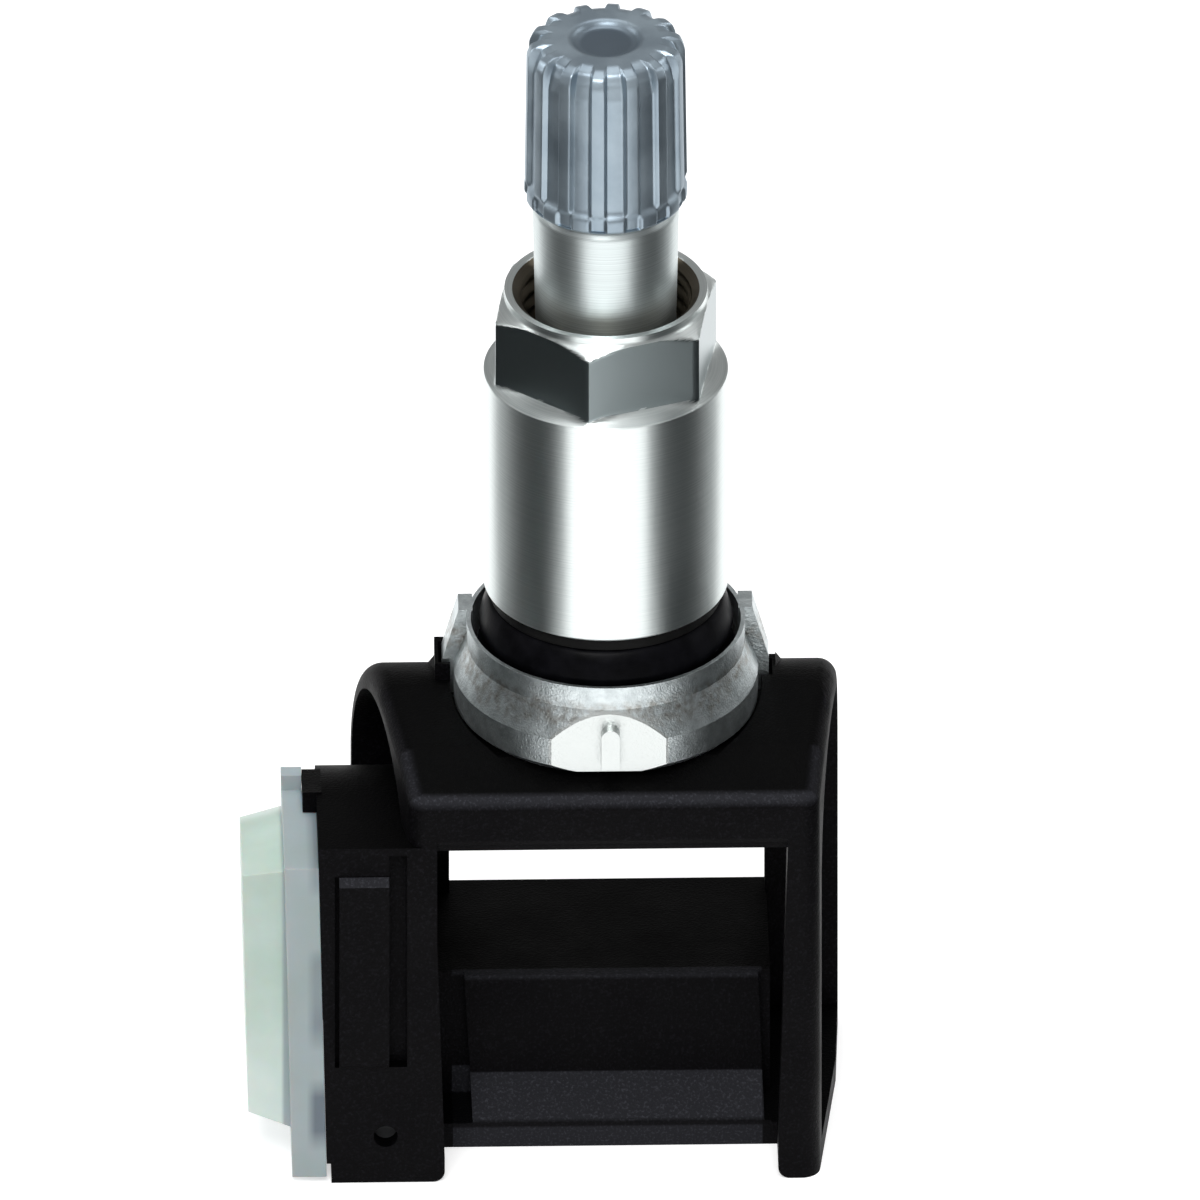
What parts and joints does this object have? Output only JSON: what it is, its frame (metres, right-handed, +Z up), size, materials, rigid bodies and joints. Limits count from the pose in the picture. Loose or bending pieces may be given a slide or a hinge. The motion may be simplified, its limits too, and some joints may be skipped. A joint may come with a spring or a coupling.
{
  "type": "tyre pressure sensor",
  "caption": "Tyre pressure sensor: moulded loop and electronics box under a clamp-in metal valve with union nut, seal and screw cap.",
  "frame": {"origin": "on the valve's axis, in the plane where the union nut's foot seats", "axes": "+Z up the valve, -Y the front of the sensor, -X towards the electronics cover"},
  "size_m": [0.035, 0.0191, 0.0717],
  "materials": {
    "aluminium_turned": "fine turned",
    "zinc_cast": "die cast, milled facet",
    "housing_plastic": "fine spark-eroded texture",
    "cap_plastic": "semi-gloss",
    "cover_plastic": "milky translucent",
    "rubber": "smooth moulded",
    "slip_plastic": "smooth",
    "brass": "turned",
    "steel": "zinc plated",
    "board_green": "solder mask",
    "chip_black": "moulded epoxy",
    "copper": "enamelled wire",
    "ceramic": "sintered",
    "filter_white": "membrane",
    "potting_gel": "cured resin"
  },
  "bodies": {
    "sensor": {"valve_foot": "zinc_cast", "valve_stem": "aluminium_turned", "valve_core_body": "brass", "valve_core_washer": "rubber", "valve_core_spring": "steel", "rubber_seal": "rubber", "retaining_screw": "steel", "screw_washer": "steel", "housing": "housing_plastic", "cover": "cover_plastic", "battery": "steel", "battery_tabs": "steel", "circuit_board": "board_green", "sensor_chip": "chip_black", "antenna_coil": "copper", "crystal": "steel", "capacitors": "ceramic", "port_gasket": "rubber", "port_filter": "filter_white", "potting": "potting_gel"},
    "pin": {"valve_core_pin": "brass", "valve_core_poppet": "rubber"},
    "cap_seal": {"cap_gasket": "rubber"},
    "cap": {"valve_cap": "cap_plastic"},
    "nut_washer": {"slip_washer": "slip_plastic"},
    "nut": {"union_nut": "aluminium_turned"}
  },
  "joints": [
    {"name": "cap_lift", "type": "slide", "parent": "sensor", "child": "cap_seal", "axis": [0, 0, 1], "range_m": [0, 0.0127]},
    {"name": "cap_turn", "type": "hinge", "parent": "cap_seal", "child": "cap", "pos_m": [0, 0, 0.031], "axis": [0, 0, 1], "range_deg": [0, 5764]},
    {"name": "nut_lift", "type": "slide", "parent": "sensor", "child": "nut_washer", "axis": [0, 0, 1], "range_m": [0, 0.041]},
    {"name": "nut_turn", "type": "hinge", "parent": "nut_washer", "child": "nut", "pos_m": [0, 0, 0.01], "axis": [0, 0, 1], "range_deg": [0, 14766]},
    {"name": "pin_press", "type": "slide", "parent": "sensor", "child": "pin", "axis": [0, 0, -1], "range_m": [0, 0.0012], "stiffness_N_per_m": 300, "springref_m": -0.002, "deforming": ["valve_core_spring"]}
  ],
  "couplings": [
    {"joint": "cap_turn", "follows": "cap_lift", "rad_per_m": 7913.3},
    {"joint": "nut_turn", "follows": "nut_lift", "rad_per_m": 6283.2}
  ]
}
